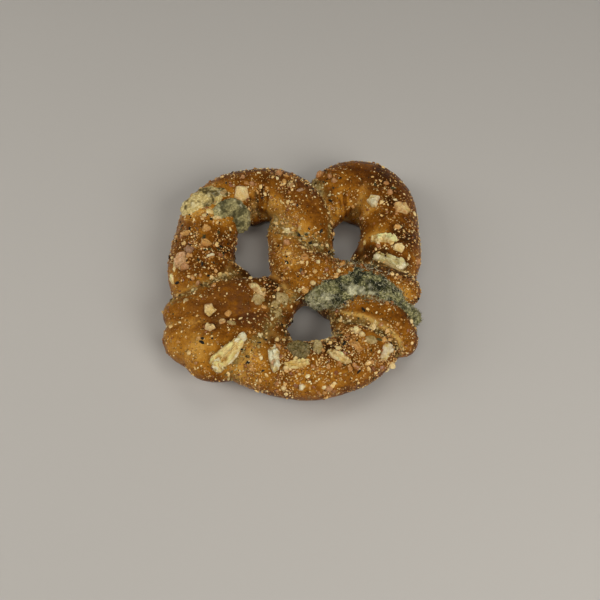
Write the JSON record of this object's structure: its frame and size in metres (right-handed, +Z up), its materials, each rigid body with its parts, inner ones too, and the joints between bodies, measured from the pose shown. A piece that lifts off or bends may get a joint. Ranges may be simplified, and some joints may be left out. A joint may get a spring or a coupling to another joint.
{
  "type": "soft pretzel",
  "caption": "Baked soft pretzel with a full twist, flakes and granules baked on its brown crust, and mould in its folds. It rests flat.",
  "frame": {"origin": "on the table, under the middle of the pretzel's bounding box", "axes": "+Z up; +Y away from the viewer, from the belly towards the two lobes; +X to the viewer's right"},
  "size_m": [0.125, 0.1355, 0.0297],
  "materials": {
    "crust": "baked, satin",
    "flake": "dry, toasted",
    "mould": "fuzzy, matt",
    "herb": "dry, matt"
  },
  "bodies": {
    "root": {"pretzel": "crust"}
  },
  "joints": []
}
